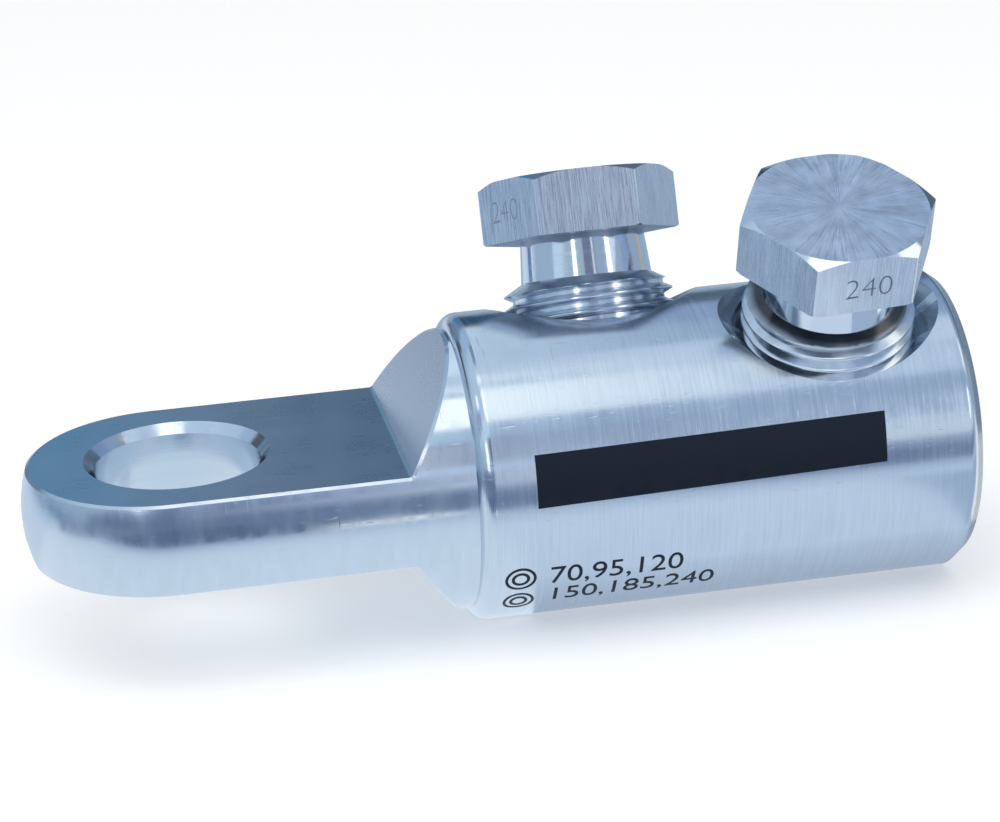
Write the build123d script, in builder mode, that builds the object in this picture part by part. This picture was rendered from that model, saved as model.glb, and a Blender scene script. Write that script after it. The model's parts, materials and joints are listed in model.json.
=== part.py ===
from build123d import *
from math import cos, radians, sin, sqrt, tan
import os

# Two-bolt shear-bolt cable lug with a flat palm and a loose centring insert.
# All sizes are in millimetres. X runs along the barrel's axis from the palm to
# the cable end, Z is the palm's normal on the side of the bolts. The origin is
# where the axis of the palm hole crosses the axis of the barrel.

os.makedirs("parts", exist_ok=True)

# Lug body: one turned bar, slab-milled at the palm end
barrel_diameter = 32.0
neck_diameter = 29.2
barrel_start = 28.5
barrel_length = 52.3
shoulder_round = 1.7
end_chamfer_length = 1.6
end_chamfer_depth = 1.2

# Palm: two flats, each rising to the neck over a slope
palm_thickness = 9.7
palm_tip_reach = 16.15
palm_slope_angle = 58.5
palm_slope_setback = 0.44
palm_bend_radius = 0.5
palm_edge_chamfer = 0.25
palm_hole_diameter = 17.0
palm_hole_chamfer = 1.0

# Cable bore: blind, drilled from the cable end, with contact grooves
bore_diameter = 20.0
bore_depth = 46.8
bore_point_angle = 118.0
bore_mouth_chamfer = 1.0
groove_depth = 0.4
groove_width = 1.2
groove_spacing = 3.0

# Shear bolts: places along the barrel, and tilts about its axis away from Z
palm_bolt_position = 44.6
palm_bolt_tilt = 21.3
palm_bolt_lift = 0.3
palm_bolt_turn = -5.1
cable_bolt_position = 67.3
cable_bolt_tilt = -19.4
cable_bolt_lift = 0.0
cable_bolt_turn = 3.1

# Threaded holes for the bolts
thread_diameter = 17.7
thread_clearance = 0.05
countersink_mouth_diameter = 23.0
countersink_angle = 90.0

# Bolt: hexagon head with its corners chamfered above and below
head_underside_height = 22.25
head_across_flats = 18.0
head_height = 6.4
head_top_diameter = 18.3
head_foot_diameter = 20.2
head_chamfer_angle = 30.0

# Bolt: smooth neck that breaks, then the threaded shank
neck_length = 4.4
neck_top_diameter = 13.0
neck_foot_diameter = 13.7
thread_bevel_length = 1.0
thread_length = 7.4
thread_tip_chamfer = 0.6

# Swivel pad riveted under each bolt's tip
pad_diameter = 13.2
pad_thickness = 1.5
pad_edge_chamfer = 0.3
pad_gap = 0.1
rivet_diameter = 6.0
rivet_head_diameter = 8.4
rivet_head_length = 0.7
rivet_recess = 0.1
rivet_clearance = 0.05

# Centring insert: a crescent that lies in the bottom of the bore
insert_clearance = 0.05
insert_floor_gap = 1.0
insert_setback = 0.8
insert_bottom_thickness = 3.65
insert_seat_diameter = 14.0
insert_edge_drop = 1.0
insert_end_chamfer = 0.5

# How far a cutting profile runs past the metal that it removes
cutter_overrun = 1.0

# Barrel, neck and palm: values worked out from the sizes above
barrel_radius = barrel_diameter / 2
neck_radius = neck_diameter / 2
barrel_end = barrel_start + barrel_length
shoulder_step = barrel_radius - neck_radius
shoulder_run = sqrt(shoulder_round**2 - (shoulder_round - shoulder_step) ** 2)
dome_centre = neck_radius - palm_tip_reach
palm_face_height = palm_thickness / 2
slope_top = barrel_start - palm_slope_setback
slope_foot = slope_top - (neck_radius - palm_face_height) / tan(radians(palm_slope_angle))
palm_hole_radius = palm_hole_diameter / 2
barrel_axis = Axis((0, 0, 0), (1, 0, 0))

# Bore and threaded holes
bore_radius = bore_diameter / 2
bore_floor = barrel_end - bore_depth
bore_point_length = bore_radius / tan(radians(bore_point_angle / 2))
mouth_radius = bore_radius + bore_mouth_chamfer
groove_count = int((bore_depth - 2 * groove_spacing) / groove_spacing) + 1
thread_radius = thread_diameter / 2
threaded_hole_radius = thread_radius + thread_clearance

# Heights along a bolt's axis, measured from the underside of its head
bevel_foot = -neck_length - thread_bevel_length
shank_tip = bevel_foot - thread_length
pad_top = shank_tip - pad_gap
pad_bottom = pad_top - pad_thickness
rivet_end = pad_bottom + rivet_recess
rivet_radius = rivet_diameter / 2
rivet_head_radius = rivet_head_diameter / 2


def bolt_frame(position, tilt, lift):
    """Plane at the underside of a bolt's head, with Z along the bolt's axis."""
    axis = Vector(0, sin(radians(tilt)), cos(radians(tilt)))
    origin = Vector(position, 0, 0) + axis * (head_underside_height + lift)
    return Plane(origin=origin, x_dir=(1, 0, 0), z_dir=axis)


def side_plane(base):
    """Plane through a bolt's axis: x runs outwards and y along the axis."""
    return Plane(origin=base.origin, x_dir=base.x_dir, z_dir=-base.y_dir)


palm_bolt_frame = bolt_frame(palm_bolt_position, palm_bolt_tilt, palm_bolt_lift)
cable_bolt_frame = bolt_frame(cable_bolt_position, cable_bolt_tilt, cable_bolt_lift)

# Lug body: palm, neck and barrel in one piece
with BuildPart() as lug_body:
    with BuildSketch(Plane.XZ):
        with BuildLine():
            palm_tip = (-palm_tip_reach, 0)
            dome_top = (dome_centre, neck_radius)
            shoulder_foot = (barrel_start, neck_radius)
            shoulder_top = (barrel_start + shoulder_run, barrel_radius)
            chamfer_start = (barrel_end - end_chamfer_length, barrel_radius)
            chamfer_end = (barrel_end, barrel_radius - end_chamfer_depth)
            Line(palm_tip, (barrel_end, 0))
            RadiusArc(palm_tip, dome_top, neck_radius)
            Line(dome_top, shoulder_foot)
            RadiusArc(shoulder_foot, shoulder_top, shoulder_round)
            Polyline(shoulder_top, chamfer_start, chamfer_end, (barrel_end, 0))
        make_face()
    revolve(axis=barrel_axis)

    # Flats above and below the palm, with the slopes up to the neck
    with BuildSketch(Plane.XZ) as palm_cut:
        Polygon(
            (-palm_tip_reach - cutter_overrun, palm_face_height),
            (slope_foot, palm_face_height),
            (slope_top, neck_radius),
            (slope_top, neck_radius + cutter_overrun),
            (-palm_tip_reach - cutter_overrun, neck_radius + cutter_overrun),
            align=None,
        )
        bend = palm_cut.vertices().sort_by_distance((slope_foot, palm_face_height))[0]
        fillet(bend, palm_bend_radius)
        mirror(about=Plane.XZ)
    extrude(amount=neck_radius + cutter_overrun, both=True, mode=Mode.SUBTRACT)
    rims = edges().filter_by(Axis.Y, reverse=True).filter_by(
        lambda edge: abs(edge.center().Z) > palm_face_height - palm_edge_chamfer
        and edge.center().X < slope_top
    )
    chamfer(rims, palm_edge_chamfer)

    # Palm hole for the stud of the terminal
    Hole(radius=palm_hole_radius)
    hole_rims = edges(Select.LAST).filter_by(GeomType.CIRCLE)
    chamfer(hole_rims, palm_hole_chamfer)

    # Cable bore with its drill point and mouth chamfer
    with BuildSketch(Plane.XZ):
        Polygon(
            (bore_floor - bore_point_length, 0),
            (bore_floor, bore_radius),
            (barrel_end - bore_mouth_chamfer, bore_radius),
            (barrel_end, mouth_radius),
            (barrel_end + cutter_overrun, mouth_radius),
            (barrel_end + cutter_overrun, 0),
            align=None,
        )
    revolve(axis=barrel_axis, mode=Mode.SUBTRACT)

    # Ring grooves that bite into the conductor
    with BuildSketch(Plane.XZ):
        for index in range(groove_count):
            with Locations((bore_floor + (index + 1) * groove_spacing, bore_radius)):
                Rectangle(groove_width, 2 * groove_depth)
    revolve(axis=barrel_axis, mode=Mode.SUBTRACT)

    # Threaded holes, each countersunk at the barrel's crown
    for frame, lift in ((palm_bolt_frame, palm_bolt_lift), (cable_bolt_frame, cable_bolt_lift)):
        with Locations(frame.offset(barrel_radius - head_underside_height - lift)):
            CounterSinkHole(
                radius=threaded_hole_radius,
                counter_sink_radius=countersink_mouth_diameter / 2,
                counter_sink_angle=countersink_angle,
                depth=barrel_radius,
            )
lug_body.part.label = "lug_body"
export_step(lug_body.part, "parts/lug_body.step")


def shear_bolt(base, head_turn):
    """Hexagon head, smooth breaking neck, threaded shank and rivet in one piece."""
    corner_radius = head_across_flats / sqrt(3)
    chamfer_slope = tan(radians(head_chamfer_angle))
    top_drop = (corner_radius - head_top_diameter / 2) * chamfer_slope
    foot_rise = (corner_radius - head_foot_diameter / 2) * chamfer_slope
    with BuildPart() as bolt:
        with BuildSketch(base):
            RegularPolygon(head_across_flats / 2, 6, major_radius=False, rotation=head_turn)
        extrude(amount=head_height)
        with BuildSketch(side_plane(base)):
            Polygon(
                (0, 0),
                (head_foot_diameter / 2, 0),
                (corner_radius, foot_rise),
                (corner_radius, head_height - top_drop),
                (head_top_diameter / 2, head_height),
                (0, head_height),
                align=None,
            )
        revolve(axis=Axis(base.origin, base.z_dir), mode=Mode.INTERSECT)
        with BuildSketch(side_plane(base)):
            Polygon(
                (0, head_height / 2),
                (neck_top_diameter / 2, head_height / 2),
                (neck_top_diameter / 2, 0),
                (neck_foot_diameter / 2, -neck_length),
                (thread_radius, bevel_foot),
                (thread_radius, shank_tip + thread_tip_chamfer),
                (thread_radius - thread_tip_chamfer, shank_tip),
                (rivet_radius, shank_tip),
                (rivet_radius, rivet_end + rivet_head_length),
                (rivet_head_radius, rivet_end),
                (0, rivet_end),
                align=None,
            )
        revolve(axis=Axis(base.origin, base.z_dir))
    return bolt.part


def pressure_pad(base):
    """Disc that the bolt turns on and that bears on the conductor."""
    pad_radius = pad_diameter / 2
    hole_radius = rivet_radius + rivet_clearance
    sink_radius = rivet_head_radius + rivet_clearance
    with BuildPart() as pad:
        with BuildSketch(side_plane(base)):
            Polygon(
                (hole_radius, pad_top),
                (pad_radius, pad_top),
                (pad_radius, pad_bottom + pad_edge_chamfer),
                (pad_radius - pad_edge_chamfer, pad_bottom),
                (sink_radius, pad_bottom),
                (sink_radius, rivet_end),
                (hole_radius, rivet_end + rivet_head_length + rivet_clearance),
                align=None,
            )
        revolve(axis=Axis(base.origin, base.z_dir))
    return pad.part


palm_end_shear_bolt = shear_bolt(palm_bolt_frame, palm_bolt_turn)
palm_end_shear_bolt.label = "palm_end_shear_bolt"
export_step(palm_end_shear_bolt, "parts/palm_end_shear_bolt.step")

cable_end_shear_bolt = shear_bolt(cable_bolt_frame, cable_bolt_turn)
cable_end_shear_bolt.label = "cable_end_shear_bolt"
export_step(cable_end_shear_bolt, "parts/cable_end_shear_bolt.step")

palm_end_pressure_pad = pressure_pad(palm_bolt_frame)
palm_end_pressure_pad.label = "palm_end_pressure_pad"
export_step(palm_end_pressure_pad, "parts/palm_end_pressure_pad.step")

cable_end_pressure_pad = pressure_pad(cable_bolt_frame)
cable_end_pressure_pad.label = "cable_end_pressure_pad"
export_step(cable_end_pressure_pad, "parts/cable_end_pressure_pad.step")

# Centring insert: thick at the bottom, thinner towards its two edges
insert_radius = bore_radius - insert_clearance
seat_radius = insert_seat_diameter / 2
seat_height = seat_radius + insert_bottom_thickness - insert_radius
insert_start = bore_floor + insert_floor_gap
insert_end = barrel_end - insert_setback
with BuildPart() as centring_insert:
    with BuildSketch(Plane.YZ.offset(insert_start)):
        Circle(insert_radius)
        with Locations((0, seat_height)):
            Circle(seat_radius, mode=Mode.SUBTRACT)
        with Locations((0, -insert_edge_drop)):
            Rectangle(
                bore_diameter, bore_diameter, align=(Align.CENTER, Align.MIN), mode=Mode.SUBTRACT
            )
    extrude(amount=insert_end - insert_start)
    end_rims = edges().filter_by(GeomType.CIRCLE).filter_by(
        lambda edge: edge.radius > seat_radius + insert_clearance
    )
    chamfer(end_rims, insert_end_chamfer)
centring_insert.part.label = "centring_insert"
export_step(centring_insert.part, "parts/centring_insert.step")
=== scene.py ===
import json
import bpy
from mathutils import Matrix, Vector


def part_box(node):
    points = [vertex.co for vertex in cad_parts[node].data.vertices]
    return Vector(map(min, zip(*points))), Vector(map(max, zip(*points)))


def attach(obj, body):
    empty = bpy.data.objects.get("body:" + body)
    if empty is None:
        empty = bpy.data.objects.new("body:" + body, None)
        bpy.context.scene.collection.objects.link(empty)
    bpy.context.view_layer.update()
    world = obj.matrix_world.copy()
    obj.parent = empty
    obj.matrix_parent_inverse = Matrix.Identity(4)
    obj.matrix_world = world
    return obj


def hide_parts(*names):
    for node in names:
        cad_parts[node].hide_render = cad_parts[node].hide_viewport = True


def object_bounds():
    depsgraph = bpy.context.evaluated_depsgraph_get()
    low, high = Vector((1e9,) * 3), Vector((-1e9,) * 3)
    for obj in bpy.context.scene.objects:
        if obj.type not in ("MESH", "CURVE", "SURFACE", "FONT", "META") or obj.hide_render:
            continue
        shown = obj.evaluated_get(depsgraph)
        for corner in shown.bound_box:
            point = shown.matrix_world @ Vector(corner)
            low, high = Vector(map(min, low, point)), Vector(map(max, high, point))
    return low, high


bl_info = {
    "name": "Shear-bolt cable lug",
    "version": (1, 0, 0),
    "blender": (4, 5, 0),
    "location": "3D View > Sidebar > Cable lug",
    "description": "Dresses the frame of a two-bolt cable lug with tinned metal, threads and print",
    "category": "Object",
}

from math import atan2, ceil, cos, degrees, pi, radians, sin, tan

import bmesh
import bpy
import numpy as np
from bpy.props import FloatProperty, FloatVectorProperty, PointerProperty
from mathutils import Matrix, Vector

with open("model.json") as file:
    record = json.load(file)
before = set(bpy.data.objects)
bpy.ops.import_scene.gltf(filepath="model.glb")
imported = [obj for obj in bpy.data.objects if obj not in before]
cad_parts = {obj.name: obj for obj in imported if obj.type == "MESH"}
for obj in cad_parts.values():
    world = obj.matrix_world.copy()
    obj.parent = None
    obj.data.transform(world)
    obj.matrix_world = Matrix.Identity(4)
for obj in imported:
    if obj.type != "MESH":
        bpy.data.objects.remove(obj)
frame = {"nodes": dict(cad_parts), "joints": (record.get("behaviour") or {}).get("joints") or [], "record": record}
cad_low, cad_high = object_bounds()

MM = 0.001
BOLTS = ("palm_end", "cable_end")
ORIGIN, ALONG = (0, 0, 0), (1, 0, 0)
# Height of the neck's foot over the first crest of the thread, which sets how the thread lies
CREST_DROP = {"palm_end": 1.85 * MM, "cable_end": 1.38 * MM}
# Brightness that the bevel over the thread falls to at the neck: painted shade under the head
BEVEL_PAINTED_SHADE = {"palm_end": 1.0, "cable_end": 0.12}
WELD = 0.0005 * MM
SLIVER = 0.0002 * MM
RECORD_MOUNTS = {mount["name"]: mount for mount in frame["record"]["mounts"]}
JOINTS = {joint["name"]: joint for joint in frame["joints"]}


# Sizes read from the frame

def bolt_matrix(bolt):
    """Frame of one bolt: the origin on the barrel's axis, Z up the bolt, X along the barrel."""
    joint = JOINTS[f"{bolt}_bolt_turn"]
    up = -Vector(joint["axis"])
    along = Vector((1, 0, 0))
    matrix = Matrix((along, up.cross(along), up)).transposed().to_4x4()
    matrix.translation = Vector(joint["pos_m"])
    return matrix


def node_points(node, matrix=None):
    """Vertices of a CAD node as an array, in the frame of matrix where one is given."""
    mesh = frame["nodes"][node].data
    points = np.empty(len(mesh.vertices) * 3)
    mesh.vertices.foreach_get("co", points)
    points = points.reshape(-1, 3)
    if matrix is None:
        return points
    back = np.array(matrix.inverted())
    return points @ back[:3, :3].T + back[:3, 3]


def lug_sizes():
    """Radii and places along the barrel, measured on the lug's solid."""
    points = node_points("lug_body")
    along, radius = points[:, 0], np.hypot(points[:, 1], points[:, 2])
    low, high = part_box("lug_body")
    barrel = high.z
    neck = radius[along < 0].max()
    shoulder_start = along[radius > neck + 0.1 * MM].min()
    shoulder_end = along[radius > barrel - 0.001 * MM].min()
    run, step = shoulder_end - shoulder_start, barrel - neck
    return {
        "barrel": barrel,
        "neck": neck,
        "end": high.x,
        "dome_centre": low.x + neck,
        "shoulder_end": shoulder_end,
        "shoulder_round": (run**2 + step**2) / (2 * step),
    }


LUG = lug_sizes()
# Whatever lies farther out from the barrel's axis is on the outside
OUTER_FLOOR = LUG["neck"] - 1 * MM


# Properties that a user would change

def length(name, description, default):
    return FloatProperty(name=name, description=description, default=default * MM, unit="LENGTH")


def angle(name, description, default):
    return FloatProperty(name=name, description=description, default=radians(default), unit="ROTATION")


def share(name, description, default):
    return FloatProperty(name=name, description=description, default=default, min=0, max=1, subtype="FACTOR")


def colour(name, description, default):
    return FloatVectorProperty(
        name=name, description=description, default=default, size=3, min=0, max=1, subtype="COLOR"
    )


class LugFinish(bpy.types.PropertyGroup):
    """Colours and roughness of the tinned metal"""

    tin: colour("Tin plate", "Colour of the bright tin plate on the body", (0.67, 0.74, 0.81))
    bolt: colour("Bolt plate", "Colour of the tin plate on the bolts", (0.72, 0.77, 0.83))
    # Darker than the tin plate as painted shade in the countersinks
    shaded_recess: colour("Recesses", "Colour inside the countersinks of the bolt holes", (0.40, 0.45, 0.50))
    # Darker than the bolt plate, partly as painted shade under the heads and partly for their coarser faced metal
    underside: colour("Undersides", "Colour under the heads of the bolts", (0.42, 0.46, 0.52))
    turned_roughness: share("Turned", "Roughness of the turned barrel, the sides and the holes", 0.2)
    milled_roughness: share("Milled", "Roughness of the milled palm, the insert and the bore", 0.28)
    drawn_roughness: share("Drawn", "Roughness of the drawn hexagon flats", 0.3)
    faced_roughness: share("Faced", "Roughness of the faced tops of the heads", 0.36)
    polished_roughness: share("Polished", "Roughness of the bolt necks and the threads", 0.1)


class LugBolt(bpy.types.PropertyGroup):
    """Shape of a shear bolt along its own axis"""

    head_height: length("Head height", "Height of the hexagon head", 6.4)
    head_top_diameter: length("Top circle", "Circle where the top chamfer starts", 18.3)
    head_foot_diameter: length("Foot circle", "Circle where the chamfer under the head starts", 20.2)
    head_chamfer: angle("Chamfer", "Slope of both chamfers of the head", 30)
    corner_break: length("Corner break", "Metal taken off each corner of the hexagon", 0.05)
    neck_length: length("Neck", "Length of the smooth neck", 4.4)
    neck_top_diameter: length("Neck top", "Diameter of the neck under the head", 13.0)
    neck_foot_diameter: length("Neck foot", "Diameter of the neck at its foot", 13.7)
    bevel_length: length("Bevel", "Length of the bevel from the neck to the thread", 1.15)
    thread_length: length("Thread", "Length of the threaded shank", 7.25)
    thread_diameter: length("Thread diameter", "Diameter over the crests", 17.7)
    tip_chamfer: length("Tip chamfer", "Chamfer at the thread's lower end", 0.6)
    pitch: length("Pitch", "Rise of the thread in one turn", 1.5)
    rivet_diameter: length("Rivet", "Diameter of the rivet that carries the pad", 6.0)
    rivet_head_diameter: length("Rivet head", "Diameter of the rivet's spread head", 8.4)
    rivet_head_length: length("Rivet head length", "Length of the rivet's spread head", 0.7)


class LugPrint(bpy.types.PropertyGroup):
    """Marks printed on the barrel and cut into the bolt heads"""

    ink: colour("Ink", "Colour of the printed marks", (0.006, 0.012, 0.024))
    engraving: colour("Engraving", "Colour of the numbers on the bolt heads", (0.18, 0.21, 0.28))
    lift: length("Thickness", "Thickness of the ink on the metal", 0.012)
    digit_height: length("Digits", "Height of the printed numbers", 2.6)


class LugStage(bpy.types.PropertyGroup):
    """Camera and light"""

    lens: FloatProperty(name="Lens", description="Focal length in millimetres", default=110.71)
    roll: angle("Roll", "Turn of the camera about its own axis", -2.79)
    floor: colour("Floor", "Colour of the floor", (0.9, 0.91, 0.92))
    glow: share("Floor glow", "Light that the floor adds where the camera or a reflection sees it", 0.3)
    fill: share("Fill", "Brightness of the surroundings on matt surfaces", 0.45)
    lamp: FloatProperty(name="Lamp", description="Power of the lamp in watts", default=5.6)


PROPERTY_GROUPS = {
    "lug_finish": LugFinish,
    "lug_bolt": LugBolt,
    "lug_print": LugPrint,
    "lug_stage": LugStage,
}


# Mesh helpers

def mesh_object(name, mesh, matrix=None):
    piece = bpy.data.objects.new(name, mesh)
    bpy.context.scene.collection.objects.link(piece)
    if matrix is not None:
        piece.matrix_world = matrix
    return piece


def finished(body, name):
    """Mesh made of a bmesh, which is freed."""
    mesh = bpy.data.meshes.new(name)
    body.to_mesh(mesh)
    body.free()
    return mesh


def turned_mesh(name, columns, rows_at):
    """Mesh of one column of (radius, height, slot) points for each angle, joined side by side.

    The slot of a point is the number of the material from it to the next point.
    """
    body = bmesh.new()
    grid = []
    for turn in columns:
        rows = rows_at(turn)
        places = [(radius * cos(turn), radius * sin(turn), height) for radius, height, _slot in rows]
        grid.append([body.verts.new(place) for place in places])
    slots = [slot for _radius, _height, slot in rows]
    for left, right in zip(grid, grid[1:]):
        for row in range(len(left) - 1):
            face = body.faces.new((left[row], left[row + 1], right[row + 1], right[row]))
            face.material_index = slots[row]
    bmesh.ops.remove_doubles(body, verts=body.verts, dist=WELD)
    bmesh.ops.dissolve_degenerate(body, edges=body.edges, dist=SLIVER)
    bmesh.ops.recalc_face_normals(body, faces=body.faces)
    return finished(body, name)


def shade(mesh, sharp_angle):
    mesh.shade_smooth()
    mesh.set_sharp_from_angle(angle=radians(sharp_angle))


# Exact normals for the curved faces of a CAD solid

class SolidNormals:
    """Corner normals of a solid's mesh, which start flat and are set surface by surface."""

    on_surface = 0.004 * MM
    straight = 0.03 * MM

    def __init__(self, mesh):
        self.mesh = mesh
        points = np.empty(len(mesh.vertices) * 3)
        mesh.vertices.foreach_get("co", points)
        self.corners = np.array([polygon.vertices[:] for polygon in mesh.polygons])
        self.points = points.reshape(-1, 3)[self.corners]
        self.faces = np.array([polygon.normal[:] for polygon in mesh.polygons])
        self.normals = np.repeat(self.faces[:, None, :], 3, axis=1)
        self.free = np.ones(len(self.faces), bool)

    def take(self, normals, near, spread):
        """Gives free faces these corner normals where all corners are near and turn little."""
        cosines = np.einsum("fci,fi->fc", normals, self.faces)
        side = np.sign(cosines.mean(axis=1))
        close = (side[:, None] * cosines > cos(radians(spread))).all(axis=1)
        good = self.free & near.all(axis=1) & close
        self.normals[good] = (side[:, None, None] * normals)[good]
        self.free &= ~good
        return good

    def round(self, middle, radius, spread):
        """Faces at one distance from their middle, or from each corner's own."""
        out = self.points - middle
        reach = np.linalg.norm(out, axis=2)
        return self.take(out / reach[..., None], abs(reach - radius) < self.on_surface, spread)

    def ball(self, centre, radius, spread=8):
        return self.round(np.array(centre), radius, spread)

    def ring(self, centre, axis, ring_radius, tube_radius, spread=14):
        _along, outward, _reach = self.around(centre, axis)
        return self.round(np.array(centre) + outward * ring_radius, tube_radius, spread)

    def around(self, origin, axis):
        """Place along an axis, direction away from it and distance from it, of each corner."""
        relative = self.points - np.array(origin)
        along = relative @ np.array(axis)
        across = relative - along[..., None] * np.array(axis)
        reach = np.linalg.norm(across, axis=2)
        return along, across / np.maximum(reach, 1e-12)[..., None], reach

    def turned(self, origin, axis, spread=7):
        """Cylinders and cones about an axis, whatever their radius."""
        along, outward, reach = self.around(origin, axis)
        lengthwise = self.faces @ np.array(axis)
        crosswise = np.sqrt(np.maximum(1 - lengthwise**2, 0))
        side = crosswise * np.sign(np.einsum("fci,fi->fc", outward, self.faces).mean(axis=1))
        normals = lengthwise[:, None, None] * np.array(axis) + side[:, None, None] * outward
        rise = lengthwise[:, None] * along + side[:, None] * reach
        straight = abs(rise - rise.mean(axis=1)[:, None]) < self.straight
        return self.take(normals, straight & (crosswise > 0.1)[:, None], spread)

    def rounded_end(self, start, end):
        """Normals of a quarter round on the chamfer between two places along x."""
        along, outward, reach = self.around(ORIGIN, ALONG)
        slope = abs(self.faces[:, 0])
        chosen = (along > start - 0.01 * MM).all(axis=1) & (slope > 0.2) & (slope < 0.9)
        chosen &= reach.min(axis=1) > OUTER_FLOOR
        turn = (np.clip((along - start) / (end - start), 0, 1) * pi / 2)[..., None]
        rounded = np.sin(turn) * np.array(ALONG) + np.cos(turn) * outward
        self.normals[chosen] = rounded[chosen]

    def soften(self, chosen, spread=30):
        """Averages the normals of chosen faces at the vertices that they share."""
        corners, faces = self.corners[chosen], self.faces[chosen]
        areas = np.array([polygon.area for polygon in self.mesh.polygons])[chosen]
        total = np.zeros((len(self.mesh.vertices), 3))
        for column in range(3):
            np.add.at(total, corners[:, column], faces * areas[:, None])
        size = np.linalg.norm(total, axis=1)
        mean = (total / np.maximum(size, 1e-20)[:, None])[corners]
        close = np.einsum("fci,fi->fc", mean, faces) > cos(radians(spread))
        self.normals[chosen] = np.where(close[..., None], mean, faces[:, None, :])

    def apply(self):
        self.mesh.shade_smooth()
        self.mesh.normals_split_custom_set(self.normals.reshape(-1, 3))


def solid_copy(name, node):
    mesh = frame["nodes"][node].data.copy()
    mesh.name = name
    mesh.materials.clear()
    return mesh_object(name, mesh)


def turned_copy(name, node, axis, *centres):
    """Copy of a solid that is round about an axis through each of its centres."""
    piece = solid_copy(name, node)
    normals = SolidNormals(piece.data)
    for centre in centres:
        normals.turned(centre, axis)
    normals.apply()
    return piece


# Materials

def feed(tree, socket, value):
    """Gives an input a plain value or another node's output."""
    if isinstance(value, bpy.types.NodeSocket):
        tree.links.new(value, socket)
    else:
        socket.default_value = value


def add_node(tree, kind, inputs=(), **settings):
    """New node of a tree, with the settings made before its inputs are fed."""
    made = tree.nodes.new(f"ShaderNode{kind}")
    for key, value in settings.items():
        setattr(made, key, value)
    for key, value in dict(inputs).items():
        feed(tree, made.inputs[key], value)
    return made


class Finish:
    """A procedural metal or ink, built node by node."""

    def __init__(self, name, colour, roughness, metallic=1.0):
        self.material = bpy.data.materials.new(name)
        self.material.use_nodes = True
        self.shader = self.material.node_tree.nodes["Principled BSDF"]
        self.roughness = roughness
        self.set("Base Color", (*colour, 1))
        self.set("Roughness", roughness)
        self.set("Metallic", metallic)
        self.where = self.node("TexCoord").outputs["Object"]

    def set(self, name, value):
        feed(self.material.node_tree, self.shader.inputs[name], value)

    def source(self, name):
        """What feeds an input of the shader."""
        return self.shader.inputs[name].links[0].from_socket

    def node(self, kind, inputs=(), **settings):
        return add_node(self.material.node_tree, kind, inputs, **settings)

    def math(self, operation, first, second):
        return self.node("Math", {0: first, 1: second}, operation=operation).outputs[0]

    def vector(self, operation, inputs):
        return self.node("VectorMath", inputs, operation=operation).outputs[0]

    def stretched_noise(self, scale, detail, start=None):
        """Noise whose grain is the inverse of scale, for each metre along x, y and z."""
        mapping = self.node("Mapping", {"Vector": start or self.where, "Scale": scale})
        inputs = {"Vector": mapping.outputs["Vector"], "Scale": 1.0, "Detail": detail}
        return self.node("TexNoise", inputs).outputs["Fac"]

    def spokes(self, count, change=0.0):
        """Vector that is the same along each ray from the z axis, but for a change outwards."""
        flat = self.vector("MULTIPLY", {0: self.where, 1: (1, 1, 0)})
        rays = self.vector("SCALE", {0: self.vector("NORMALIZE", {0: flat}), "Scale": count})
        drift = self.vector("SCALE", {0: flat, "Scale": change})
        return self.vector("ADD", {0: rays, 1: drift})

    def spread(self, source, low, high, floor=0.35, ceiling=0.65):
        """Maps a noise's middle range to low and high."""
        ends = {"From Min": floor, "From Max": ceiling, "To Min": low, "To Max": high}
        return self.node("MapRange", {"Value": source, **ends}).outputs["Result"]

    def spread_along(self, axis, start, end, low, high):
        """Runs from low to high between two places along an axis."""
        place = self.node("SeparateXYZ", {0: self.where}).outputs[axis]
        return self.spread(place, low, high, start, end)

    def roughness_from(self, source, low, high):
        """Roughness that runs from low to high times the finish's own with a noise."""
        self.set("Roughness", self.spread(source, low * self.roughness, high * self.roughness))

    def rougher_towards(self, axis, start, end, amount):
        """Adds to the roughness between two places along an axis."""
        added = self.spread_along(axis, start, end, 0, amount)
        self.set("Roughness", self.math("ADD", self.source("Roughness"), added))

    def shaded(self, source, dark, light, *middle):
        """Colour that runs from dark to light times the finish's own with a noise."""
        own = self.shader.inputs["Base Color"].default_value[:3]
        inputs = {"Factor": self.spread(source, 0, 1, *middle)}
        for key, amount in (("A", dark), ("B", light)):
            inputs[key] = (*[min(part * amount, 1) for part in own], 1)
        self.set("Base Color", self.node("Mix", inputs, data_type="RGBA").outputs["Result"])

    def shaded_along(self, axis, start, end, amount):
        """Multiplies the colour by an amount that is reached between two places along an axis."""
        factor = self.spread_along(axis, start, end, 1, amount)
        self.set("Base Color", self.vector("SCALE", {0: self.source("Base Color"), "Scale": factor}))

    def blend(self, first, second, amount):
        """First value with an amount of the second, for noises that are laid over each other."""
        inputs = {"A": first, "B": second, "Factor": amount}
        return self.node("Mix", inputs, data_type="FLOAT").outputs["Result"]

    def bump(self, source, depth, before=None, invert=False):
        """Relief of a noise, over an earlier relief where one is given."""
        inputs = {"Height": source, "Distance": depth}
        if before is not None:
            inputs["Normal"] = before
        normal = self.node("Bump", inputs, invert=invert).outputs["Normal"]
        self.set("Normal", normal)
        return normal

    def scratches(self, scales, cover, depth, before):
        """Sparse short scratches: the crests of stretched noises, cut into an earlier relief."""
        total = None
        for scale in scales:
            thin = self.spread(self.stretched_noise(scale, 0), 0, 1, 1 - cover, 1 - cover + 0.12)
            total = thin if total is None else self.math("MAXIMUM", total, thin)
        self.bump(total, depth, before, invert=True)

    def grain(self, axis, amount):
        """Spreads reflections across the turning marks round an axis."""
        tangent = self.node("Tangent", direction_type="RADIAL", axis=axis)
        self.set("Anisotropic", amount)
        self.set("Anisotropic Rotation", 0.25)
        self.set("Tangent", tangent.outputs["Tangent"])


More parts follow.
